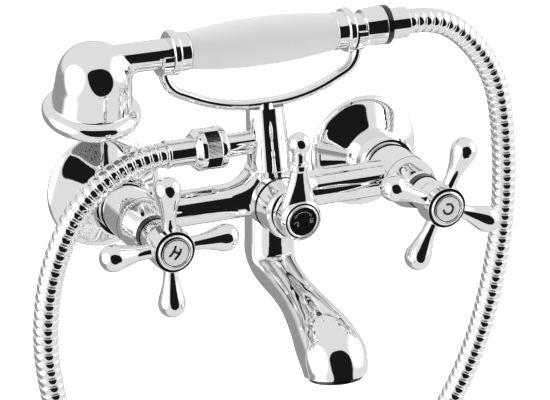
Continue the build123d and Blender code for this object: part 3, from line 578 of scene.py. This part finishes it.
# Radius share, distance from the body's side and share of the knurl
NUT_ROWS = (
    (0.840, 0.0000, 0.0), (0.930, 0.0006, 0.0), (0.985, 0.0014, 0.0), (1.000, 0.0020, 0.0),
    (1.000, 0.0044, 0.0), (0.985, 0.0046, 0.0), (0.985, 0.0047, 1.0), (0.985, 0.0124, 1.0),
    (0.985, 0.0125, 0.0), (1.000, 0.0127, 0.0), (1.000, 0.0150, 0.0), (0.985, 0.0153, 0.0),
    (0.960, 0.0155, 0.0), (0.930, 0.0158, 0.0), (0.880, 0.0166, 0.0), (0.820, 0.0175, 0.0),
    (0.790, 0.0178, 0.0), (0.760, 0.0180, 0.0), (0.632, 0.0180, 0.0), (0.632, 0.0000, 0.0),
)
KNURL_STEPS = 4


class MIXER_OT_hose_nut(Operator):
    """Turns the hose nut on the shower outlet, with its fine straight knurl"""
    bl_idname = "mixer.hose_nut"
    bl_label = "Hose nut"

    def execute(self, context):
        settings = context.scene.bath_mixer
        low, high = (Vector(corner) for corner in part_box("hose_nut"))
        radius = (high.z - low.z) / 2
        stretch = (high.x - low.x) / max(distance for _, distance, _ in NUT_ROWS)
        middle = (low + high) / 2
        axis = toward(Vector((high.x, middle.y, middle.z)), -ACROSS, UPWARDS)
        sides = settings.knurl_teeth * KNURL_STEPS
        half = KNURL_STEPS / 2
        vertices = []
        for share, distance, knurl in NUT_ROWS:
            for step, angle in enumerate(ring_angles(sides)):
                groove = abs(step % KNURL_STEPS - half) / half
                reach = radius * share - settings.knurl_depth * knurl * groove
                vertices.append(ring_point(axis, reach, angle, distance * stretch))
        faces = ring_faces(len(NUT_ROWS), sides, closed=True)
        nut = mesh_object("knurled_hose_nut", vertices, faces, finish("chrome"))
        ride_as(nut, "mixer", "chrome", "hose_nut")
        return {"FINISHED"}


# Escutcheons

# Radius and distance from the wall, in metres
ROSE_BELL = (
    (0.0135, 0.01890), (0.0150, 0.01890), (0.0154, 0.01860), (0.0153, 0.01500), (0.0152, 0.01330),
    (0.0153, 0.01260), (0.0162, 0.01190), (0.0190, 0.01010), (0.0220, 0.00820), (0.0245, 0.00665),
    (0.0264, 0.00550), (0.0280, 0.00450), (0.0292, 0.00365), (0.0301, 0.00285), (0.0307, 0.00205),
    (0.0310, 0.00130), (0.0310, 0.00050), (0.0308, 0.00010), (0.0296, 0.00000), (0.0270, 0.00330),
    (0.0220, 0.00650), (0.0160, 0.01030), (0.0138, 0.01150), (0.0135, 0.01230),
)
ROSE_ROUNDS = 2
ROSE_SIDES = 160


class MIXER_OT_escutcheons(Operator):
    """Spins the bells that cover the wall connectors"""
    bl_idname = "mixer.escutcheons"
    bl_label = "Escutcheons"

    def execute(self, context):
        profile = rounded(ROSE_BELL, ROSE_ROUNDS)
        for side, x in (("hot", -VALVE_X), ("cold", VALVE_X)):
            axis = toward(spot(x, 0, 0), ROOM, UPWARDS)
            rose = turned_piece(
                side + "_rose_bell", axis, profile, "chrome", sides=ROSE_SIDES, closed=True,
            )
            ride_as(rose, "mixer", "chrome", side + "_escutcheon")
        return {"FINISHED"}


# Spout nose

# Each ring's top and then its bottom: distance out from the column, height over the valve axis
COLUMN_OUT = 0.044
SPOUT_NOSE = (
    (0.02600, -0.03180, 0.02500, -0.05200), (0.03770, -0.03392, 0.03400, -0.05440),
    (0.05000, -0.03560, 0.04350, -0.05840), (0.06150, -0.03730, 0.05300, -0.06320),
    (0.07220, -0.03930, 0.05900, -0.06720), (0.08150, -0.04270, 0.06260, -0.06950),
    (0.08880, -0.04660, 0.06420, -0.06990), (0.09360, -0.05190, 0.06500, -0.07000),
    (0.09640, -0.05850, 0.06540, -0.07005), (0.09738, -0.06500, 0.06560, -0.07005),
)
# Share of the last ring's size and depth inside the mouth
MOUTH_RINGS = ((0.996, 0.0), (0.885, 0.0), (0.885, 0.003))
NOSE_STEPS = 12
NOSE_SIDES = 120


def nose_rings():
    """Middle and upward half width of each ring, from the column to just inside the mouth."""
    lead_in = tuple(2 * a - b for a, b in zip(SPOUT_NOSE[0], SPOUT_NOSE[1]))
    lead_out = tuple(2 * a - b for a, b in zip(SPOUT_NOSE[-1], SPOUT_NOSE[-2]))
    stations = [lead_in, *SPOUT_NOSE, lead_out]
    outline = []
    for leg in range(len(SPOUT_NOSE) - 1):
        for step in range(NOSE_STEPS):
            outline.append(eased(*stations[leg:leg + 4], step / NOSE_STEPS))
    outline.append(SPOUT_NOSE[-1])
    rings = []
    for top_out, top, low_out, low in outline:
        crown = spot(0, COLUMN_OUT + top_out, top)
        sole = spot(0, COLUMN_OUT + low_out, low)
        rings.append(((crown + sole) / 2, (crown - sole) / 2))
    mouth, lift = rings[-1]
    inward = lift.cross(ACROSS).normalized()
    return rings + [(mouth + inward * depth, lift * share) for share, depth in MOUTH_RINGS]


class MIXER_OT_spout_nose(Operator):
    """Draws the full, rounded nose of the spout over its neck"""
    bl_idname = "mixer.spout_nose"
    bl_label = "Spout nose"

    def execute(self, context):
        rings = nose_rings()
        vertices = []
        for middle, lift in rings:
            side = ACROSS * lift.length
            for angle in ring_angles(NOSE_SIDES):
                vertices.append(middle + side * cos(angle) + lift * sin(angle))
        faces = ring_faces(len(rings), NOSE_SIDES)
        nose = mesh_object("spout_nose", vertices, faces, finish("chrome"))
        ride_as(nose, "mixer", "chrome")
        return {"FINISHED"}


# Shower head

# Where the head's axis crosses the grip's, and how far its top leans into the room
HEAD_PLACE = (-0.0898, 0.0325, 0.0800)
HEAD_TILT = radians(14.0)

# Radii, and depths below the grip's axis along the head's own
DOME_RADIUS = 0.0210
DOME_TOP = -0.0095
DOME_END = 0.0130
WAIST_SHARE = 0.9286
WAIST_SLOPE = 5.0
NECK_START = 0.0212
NECK_FREE = 0.0280
SKIRT_SLOPE = radians(6.0)
SKIRT_FOOT = Vector((0.02054, 0.02303))
FLARE_RADIUS = 0.0008
FLARE_END = radians(65.0)
BRIM_CENTRE = Vector((0.0207, 0.0285))
BRIM_ROUND = 0.0045
LIP_CENTRE = Vector((0.0202, 0.0285))
LIP_ROUND = 0.0050
LIP_END = radians(55.0)
SPRAY_MOUTH = ((0.01955, 0.0326), (0.01955, 0.0290))
SKIRT_STEPS = 8
HEAD_ARC_POINTS = 13
HEAD_SIDES = 192


def waist_share(depth):
    """Share of the dome's radius that is left at a depth: all at its top, least above the skirt."""
    share = way_along(depth, DOME_TOP, DOME_END)
    slope = WAIST_SLOPE * (DOME_END - DOME_TOP) * (share ** 3 - share ** 2)
    return 1.0 - (1.0 - WAIST_SHARE) * smooth_share(share) + slope


def head_dome(axis):
    """The solid head's dome and neck, drawn in to a waist and cut off above the skirt."""
    mesh = frame["nodes"]["shower_head"].data.copy()
    mesh.name = "head_dome"
    if "custom_normal" in mesh.attributes:
        mesh.attributes.remove(mesh.attributes["custom_normal"])
    shape = bmesh.new()
    shape.from_mesh(mesh)
    bmesh.ops.bisect_plane(
        shape, geom=[*shape.verts, *shape.edges, *shape.faces], dist=WELD,
        plane_co=axis @ Vector((0, 0, DOME_END)), plane_no=axis.to_3x3() @ UPWARDS,
        clear_outer=True,
    )
    inverse = axis.inverted()
    for vertex in shape.verts:
        place = inverse @ vertex.co
        neck = smooth_share(way_along(place.xy.length, NECK_START, NECK_FREE))
        share = 1.0 - (1.0 - waist_share(place.z)) * (1.0 - neck)
        vertex.co = axis @ Vector((place.x * share, place.y * share, place.z))
    shape.to_mesh(mesh)
    shape.free()
    return shaded_object("head_dome", mesh, finish("chrome"))


def head_arc(centre, radius, start, end):
    return [centre + point for point in arc_points(radius, start, end, HEAD_ARC_POINTS)]


def skirt_profile():
    """Waist, straight skirt, tight flare, round brim and lip of the shower head."""
    waist = Vector((DOME_RADIUS * WAIST_SHARE, DOME_END))
    straight = [waist.lerp(SKIRT_FOOT, step / SKIRT_STEPS) for step in range(SKIRT_STEPS)]
    hollow = SKIRT_FOOT + FLARE_RADIUS * Vector((cos(SKIRT_SLOPE), -sin(SKIRT_SLOPE)))
    flare = head_arc(hollow, FLARE_RADIUS, pi - SKIRT_SLOPE, pi - FLARE_END)
    brim = head_arc(BRIM_CENTRE, BRIM_ROUND, -FLARE_END, 0.0)
    lip = head_arc(LIP_CENTRE, LIP_ROUND, 0.0, LIP_END)[1:]
    return [*(tuple(point) for point in (*straight, *flare, *brim, *lip)), *SPRAY_MOUTH]


class MIXER_OT_shower_head(Operator):
    """Shapes the shower head's dome, skirt and brim"""
    bl_idname = "mixer.shower_head"
    bl_label = "Shower head"

    def execute(self, context):
        below = Vector((0, sin(HEAD_TILT), -cos(HEAD_TILT)))
        axis = toward(spot(*HEAD_PLACE), below, ACROSS)
        ride_as(head_dome(axis), "handset", "chrome", "shower_head")
        skirt = turned_piece("head_skirt", axis, skirt_profile(), "chrome", sides=HEAD_SIDES)
        ride_as(skirt, "handset", "chrome")
        return {"FINISHED"}


# Indexes

# Radius and distance behind the front, in metres
CAP_RIM = (
    (0.00700, 0.00380), (0.00700, 0.00060), (0.00712, 0.00028), (0.00730, 0.00008),
    (0.00752, 0.00000), (0.00790, 0.00008), (0.00835, 0.00024), (0.00868, 0.00044),
    (0.00892, 0.00072), (0.00909, 0.00110), (0.00920, 0.00170), (0.00925, 0.00250),
    (0.00925, 0.00380),
)
CAP_LINE = ((0.00664, 0.00034), (0.00700, 0.00034), (0.00700, 0.00120), (0.00664, 0.00120))
CAP_FACE = (
    (0.0, 0.00030), (0.0040, 0.00030), (0.0060, 0.00030), (0.0064, 0.00033), (0.00664, 0.00045),
    (0.00664, 0.00120), (0.0, 0.00120),
)
LEVER_BEZEL = (
    (0.00740, 0.00300), (0.00740, 0.00060), (0.00750, 0.00030), (0.00768, 0.00008),
    (0.00792, 0.00000), (0.00818, 0.00010), (0.00840, 0.00034), (0.00854, 0.00066),
    (0.00860, 0.00110), (0.00860, 0.00300),
)
PRINT_RAISE = 0.00004
PRINT_THICKNESS = 0.00008

# Angles at which the round end of a pen stroke has its rows
ROUND_END = (88.0, 66.0, 44.0, 22.0)

# Letters: shares of the H's height, and directions in which the C starts and ends
HOT_LETTER_TURN = radians(-34.0)
HOT_LETTER_WIDTH = 0.62
HOT_LETTER_BOW = 0.09
HOT_LETTER_BAR = 0.08
STEM_POINTS = 9
COLD_LETTER_START = radians(188.0)
COLD_LETTER_END = radians(467.0)

# Print on the lever's index
LEVER_ARC = (radians(32.0), radians(148.0))
LEVER_ARC_RADIUS = 0.0051
LEVER_LINE = 0.00036
ARROW_LEAD = 0.14
ARROW_LENGTH = 0.0016
ARROW_HALF_WIDTH = 0.0007
ARROW_TIP_SHARE = 0.05
BATH_PLACE = Vector((-0.0035, -0.0008))
SHOWER_PLACE = Vector((0.0046, -0.0002))

# Signs as strokes, in millimetres: a spout with its water, and a shower head with its spray
MILLIMETRE = 0.001
BATH_SIGN = (
    ((-1.3, 0.2), (-0.8, 0.8), (0.0, 1.0), (0.7, 0.7), (0.9, 0.1)),
    ((0.4, -0.4), (0.4, -0.8), (0.4, -1.3)),
    ((0.9, -0.4), (0.9, -0.8), (0.9, -1.3)),
)
SHOWER_SIGN = (
    ((-0.8, 0.8), (-0.4, 1.15), (0.0, 1.25), (0.4, 1.15), (0.8, 0.8)),
    ((-0.54, 0.3), (-0.66, -0.3), (-0.8, -1.0)),
    ((0.0, 0.3), (0.0, -0.3), (0.0, -1.0)),
    ((0.54, 0.3), (0.66, -0.3), (0.8, -1.0)),
)


def bowed(x, bow, height):
    """Points of an upright stroke that bows sideways."""
    shares = [2 * step / (STEM_POINTS - 1) - 1 for step in range(STEM_POINTS)]
    return [Vector((x - bow * share * share, height / 2 * share)) for share in shares]


def pen_stroke(points, width):
    """Rows of a stroke with round ends: middle, direction along it and half width."""
    half = width / 2
    turns = [radians(angle) for angle in ROUND_END]
    first = (points[1] - points[0]).normalized()
    last = (points[-1] - points[-2]).normalized()
    rows = [(points[0] - first * half * sin(turn), first, half * cos(turn)) for turn in turns]
    for before, point, after in zip(points[:1] + points, points, points[1:] + points[-1:]):
        rows.append((point, (after - before).normalized(), half))
    rows += [(points[-1] + last * half * sin(turn), last, half * cos(turn)) for turn in reversed(turns)]
    return rows


def arrowhead(tip, way):
    """Rows of an arrowhead, which ends in a narrow tip."""
    tip_width = ARROW_HALF_WIDTH * ARROW_TIP_SHARE
    return [(tip - way * ARROW_LENGTH, way, ARROW_HALF_WIDTH), (tip, way, tip_width)]


def printed(name, strokes, face, finish_name):
    """Thin layer of paint in strokes on a face placement."""
    vertices, faces = [], []
    for rows in strokes:
        start = len(vertices)
        for middle, way, half in rows:
            side = Vector((-way.y, way.x)) * half
            for point in (middle - side, middle + side):
                vertices.append(face @ Vector((point.x, point.y, PRINT_RAISE)))
        for row in range(len(rows) - 1):
            corner = start + 2 * row
            faces.append((corner, corner + 1, corner + 3, corner + 2))
    made = mesh_object(name, vertices, faces, finish(finish_name))
    layer = made.modifiers.new("paint", "SOLIDIFY")
    layer.thickness = PRINT_THICKNESS
    layer.offset = 0.0
    return made


def hot_letter(settings):
    """Strokes of an H whose stems bow a little, turned on its face."""
    stroke = settings.letter_stroke
    height = settings.letter_height - stroke
    gap = HOT_LETTER_WIDTH * height
    stems = [bowed(x, HOT_LETTER_BOW * height, height) for x in (-gap / 2, gap / 2)]
    bar = [Vector((x, HOT_LETTER_BAR * height)) for x in (-gap / 2, 0.0, gap / 2)]
    turn = Matrix.Rotation(HOT_LETTER_TURN, 2)
    return [pen_stroke([turn @ point for point in points], stroke) for points in (*stems, bar)]


def cold_letter(settings):
    """Stroke of a C turned on its face."""
    stroke = settings.letter_stroke
    arc = arc_points((settings.letter_height - stroke) / 2, COLD_LETTER_START, COLD_LETTER_END)
    return [pen_stroke(arc, stroke)]


def front_of(node):
    """How far a node stands out from the wall."""
    return -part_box(node)[0][1]


def index_cap(side, x, strokes):
    """Bright rim, black line, enamel face and letter of a cross handle's index."""
    body = side + "_cross"
    front = front_of(side + "_index_cap")
    axis = toward(spot(x, front, 0), -ROOM, UPWARDS)
    rim = turned_piece(side + "_index_rim", axis, CAP_RIM, "chrome", closed=True)
    ride_as(rim, body, "chrome", side + "_index_cap")
    line = turned_piece(side + "_index_line", axis, CAP_LINE, "black_plastic", closed=True)
    ride_as(line, body, "black_plastic")
    ride_as(turned_piece(side + "_index_face", axis, CAP_FACE, "enamel"), body, "chrome")
    face = toward(spot(x, front - CAP_FACE[0][1], 0), ROOM, UPWARDS)
    ride_as(printed(side + "_letter", strokes, face, "black_plastic"), body, "black_plastic")


class MIXER_OT_index_caps(Operator):
    """Makes the enamelled index caps with their letters"""
    bl_idname = "mixer.index_caps"
    bl_label = "Index caps"

    def execute(self, context):
        settings = context.scene.bath_mixer
        index_cap("hot", -VALVE_X, hot_letter(settings))
        index_cap("cold", VALVE_X, cold_letter(settings))
        return {"FINISHED"}


def sign_strokes(sign, place):
    """Pen strokes of a sign about its place on the index."""
    strokes = []
    for points in sign:
        strokes.append(pen_stroke([place + Vector(point) * MILLIMETRE for point in points], LEVER_LINE))
    return strokes


def lever_strokes():
    """The arc with its two arrowheads, and the two signs."""
    start, end = LEVER_ARC
    strokes = [pen_stroke(arc_points(LEVER_ARC_RADIUS, start, end), LEVER_LINE)]
    for turn, way in ((start, -1), (end, 1)):
        ahead = turn + way * ARROW_LEAD
        tip = Vector((cos(ahead), sin(ahead))) * LEVER_ARC_RADIUS
        strokes.append(arrowhead(tip, Vector((-sin(turn), cos(turn))) * way))
    strokes += sign_strokes(BATH_SIGN, BATH_PLACE)
    strokes += sign_strokes(SHOWER_SIGN, SHOWER_PLACE)
    return strokes


class MIXER_OT_lever_index(Operator):
    """Makes the lever's bright bezel and the arc and signs printed on its index"""
    bl_idname = "mixer.lever_index"
    bl_label = "Lever index"

    def execute(self, context):
        axis = toward(spot(0, front_of("lever_bezel"), 0), -ROOM, UPWARDS)
        bezel = turned_piece("bright_bezel", axis, LEVER_BEZEL, "chrome", closed=True)
        ride_as(bezel, "diverter", "chrome", "lever_bezel")
        face = toward(spot(0, front_of("lever_index"), 0), ROOM, UPWARDS)
        lettering = printed("lever_print", lever_strokes(), face, "printed_grey")
        ride_as(lettering, "diverter", "black_plastic")
        return {"FINISHED"}


# CAD pieces that keep their shape


class MIXER_OT_finish_nodes(Operator):
    """Gives every CAD piece the finish of its material slot"""
    bl_idname = "mixer.finish_nodes"
    bl_label = "Finish the solid pieces"

    def execute(self, context):
        slots = {part["node"]: part["material_slot"] for part in frame["record"]["subparts"]}
        for name, node in frame["nodes"].items():
            one_material(node.data, finish(slots[name]))
        return {"FINISHED"}


# Studio

FLOOR_CENTRE = Vector((0.50, 1.75, -0.36))
FLOOR_RINGS = (0.0, 1.0, 2.55)
FLOOR_SIDES = 96
FLOOR_GLOW = 0.75

# Light of the surround: all round, low behind the mixer, in the doorway, and as the camera sees it
WALL_LEVEL = 0.80
BACK_LEVEL = 0.32
DOORWAY_LEVEL = 0.010
CAMERA_LEVEL = 1.0

# Openings: the middle's azimuth is counted to the right of straight before the mixer and its
# elevation from the horizon, and these and the half sizes are in degrees. The lean takes the top to
# the left. An edge is an ellipse at squareness 2, squarer above that, and as soft as its softness.
DOORWAY = {
    "azimuth": 1.0, "elevation": 8.0, "half_width": 38.0, "half_height": 41.0,
    "lean": 0.22, "squareness": 2.8, "softness": 0.03,
}
LOW_BACK = {
    "azimuth": -155.0, "elevation": -34.0, "half_width": 66.0, "half_height": 38.0,
    "lean": 0.0, "squareness": 2.5, "softness": 0.30,
}
LEFT_SOFTBOX = {
    "azimuth": -85.0, "elevation": 8.0, "half_width": 35.0, "half_height": 35.0,
    "lean": 0.0, "squareness": 2.0, "softness": 0.40,
}
RIGHT_SOFTBOX = {
    "azimuth": 77.0, "elevation": 18.0, "half_width": 32.0, "half_height": 27.0,
    "lean": 0.0, "squareness": 2.0, "softness": 0.40,
}
LEAST_DEPTH = 0.001


def sum_of(tree, operation, *values):
    """Result of one sum on sockets and plain numbers."""
    node = tree.nodes.new("ShaderNodeMath")
    node.operation = operation
    for socket, value in zip(node.inputs, values):
        if isinstance(value, float):
            socket.default_value = value
        else:
            tree.links.new(value, socket)
    return node.outputs["Value"]


def run_along(tree, direction, vector):
    """How far a ray's direction runs along a vector."""
    node = tree.nodes.new("ShaderNodeVectorMath")
    node.operation = "DOT_PRODUCT"
    node.inputs[1].default_value = vector
    tree.links.new(direction, node.inputs[0])
    return node.outputs["Value"]


def fade(tree, value, start, end, low, high):
    """Smooth change from low to high while the value goes from start to end."""
    node = tree.nodes.new("ShaderNodeMapRange")
    node.interpolation_type = "SMOOTHSTEP"
    names = ("Value", "From Min", "From Max", "To Min", "To Max")
    for name, given in zip(names, (value, start, end, low, high)):
        if isinstance(given, float):
            node.inputs[name].default_value = given
        else:
            tree.links.new(given, node.inputs[name])
    return node.outputs["Result"]


def opening(
    tree, direction, azimuth, elevation, half_width, half_height, lean, squareness, softness,
):
    """Share of an opening in the surround that a ray meets: one inside it, nought outside."""
    azimuth, elevation = radians(azimuth), radians(elevation)
    ahead = Vector((
        sin(azimuth) * cos(elevation), -cos(azimuth) * cos(elevation), sin(elevation),
    ))
    across = Vector((cos(azimuth), sin(azimuth), 0.0))
    above = ahead.cross(across)
    depth = sum_of(tree, "MAXIMUM", run_along(tree, direction, ahead), LEAST_DEPTH)
    reach = []
    for vector, half in ((across + above * lean, half_width), (above, half_height)):
        offset = sum_of(tree, "ABSOLUTE", run_along(tree, direction, vector / tan(radians(half))))
        reach.append(sum_of(tree, "POWER", sum_of(tree, "DIVIDE", offset, depth), squareness))
    edge = sum_of(tree, "POWER", sum_of(tree, "ADD", *reach), 1.0 / squareness)
    return fade(tree, edge, 1.0 - softness, 1.0 + softness, 1.0, 0.0)


def light_tent(settings):
    """Pale surround with two softboxes and a dark doorway, which the camera itself sees as white."""
    world = bpy.data.worlds.new("light tent")
    world.use_nodes = True
    tree = world.node_tree
    tree.nodes.clear()
    direction = tree.nodes.new("ShaderNodeTexCoord").outputs["Generated"]
    level = WALL_LEVEL
    for place, light in (
        (LOW_BACK, BACK_LEVEL),
        (LEFT_SOFTBOX, settings.studio_light),
        (RIGHT_SOFTBOX, settings.studio_light),
        (DOORWAY, DOORWAY_LEVEL),
    ):
        level = fade(tree, opening(tree, direction, **place), 0.0, 1.0, level, light)
    seen = tree.nodes.new("ShaderNodeLightPath").outputs["Is Camera Ray"]
    level = fade(tree, seen, 0.0, 1.0, level, CAMERA_LEVEL)
    background = tree.nodes.new("ShaderNodeBackground")
    background.inputs["Color"].default_value = (1.0, 1.0, 1.0, 1.0)
    tree.links.new(level, background.inputs["Strength"])
    output = tree.nodes.new("ShaderNodeOutputWorld")
    tree.links.new(background.outputs["Background"], output.inputs["Surface"])
    return world


def floor_piece(settings):
    """Round pale floor, with light of its own so that no shadow is hard."""
    profile = [(radius, 0.0) for radius in FLOOR_RINGS]
    vertices, faces = lathe(Matrix.Translation(FLOOR_CENTRE), profile, FLOOR_SIDES)
    return mesh_object("floor", vertices, faces, floor_paper("studio floor", settings), smooth=False)


class MIXER_OT_studio(Operator):
    """Sets the pale floor, the soft light and the camera at the photograph's angle"""
    bl_idname = "mixer.studio"
    bl_label = "Studio"

    def execute(self, context):
        settings = context.scene.bath_mixer
        scene = context.scene
        scene.world = light_tent(settings)
        scene.view_settings.view_transform = "Standard"
        paper = floor_piece(settings)
        paper.visible_glossy = False
        camera = bpy.data.cameras.new("camera")
        camera.lens = CAMERA_LENS
        camera.sensor_fit = "HORIZONTAL"
        camera.sensor_width = SENSOR_WIDTH
        camera.dof.use_dof = False
        eye = linked("camera", camera)
        eye.location = CAMERA_TARGET + CAMERA_TOWARD.normalized() * CAMERA_DISTANCE
        eye.rotation_euler = CAMERA_TOWARD.to_track_quat("Z", "Y").to_euler()
        scene.camera = eye
        return {"FINISHED"}


class MIXER_PT_panel(Panel):
    bl_label = "Bath mixer"
    bl_idname = "MIXER_PT_panel"
    bl_space_type = "VIEW_3D"
    bl_region_type = "UI"
    bl_category = "Bath mixer"

    def draw(self, context):
        settings = context.scene.bath_mixer
        for name in MixerSettings.__annotations__:
            self.layout.prop(settings, name)
        for operator in OPERATORS:
            self.layout.operator(operator.bl_idname)


OPERATORS = (
    MIXER_OT_studio,
    MIXER_OT_outlet_hose,
    MIXER_OT_handset_hose,
    MIXER_OT_finish_nodes,
    MIXER_OT_hose_nut,
    MIXER_OT_escutcheons,
    MIXER_OT_spout_nose,
    MIXER_OT_shower_head,
    MIXER_OT_index_caps,
    MIXER_OT_lever_index,
)
CLASSES = (MixerSettings, *OPERATORS, MIXER_PT_panel)


def register():
    for item in CLASSES:
        bpy.utils.register_class(item)
    bpy.types.Scene.bath_mixer = PointerProperty(type=MixerSettings)


def unregister():
    del bpy.types.Scene.bath_mixer
    for item in reversed(CLASSES):
        bpy.utils.unregister_class(item)


def main():
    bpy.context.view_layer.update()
    register()
    bpy.ops.mixer.studio()
    bpy.ops.mixer.outlet_hose()
    bpy.ops.mixer.handset_hose()
    bpy.ops.mixer.finish_nodes()
    bpy.ops.mixer.hose_nut()
    bpy.ops.mixer.escutcheons()
    bpy.ops.mixer.spout_nose()
    bpy.ops.mixer.shower_head()
    bpy.ops.mixer.index_caps()
    bpy.ops.mixer.lever_index()


if __name__ == "__main__":
    main()
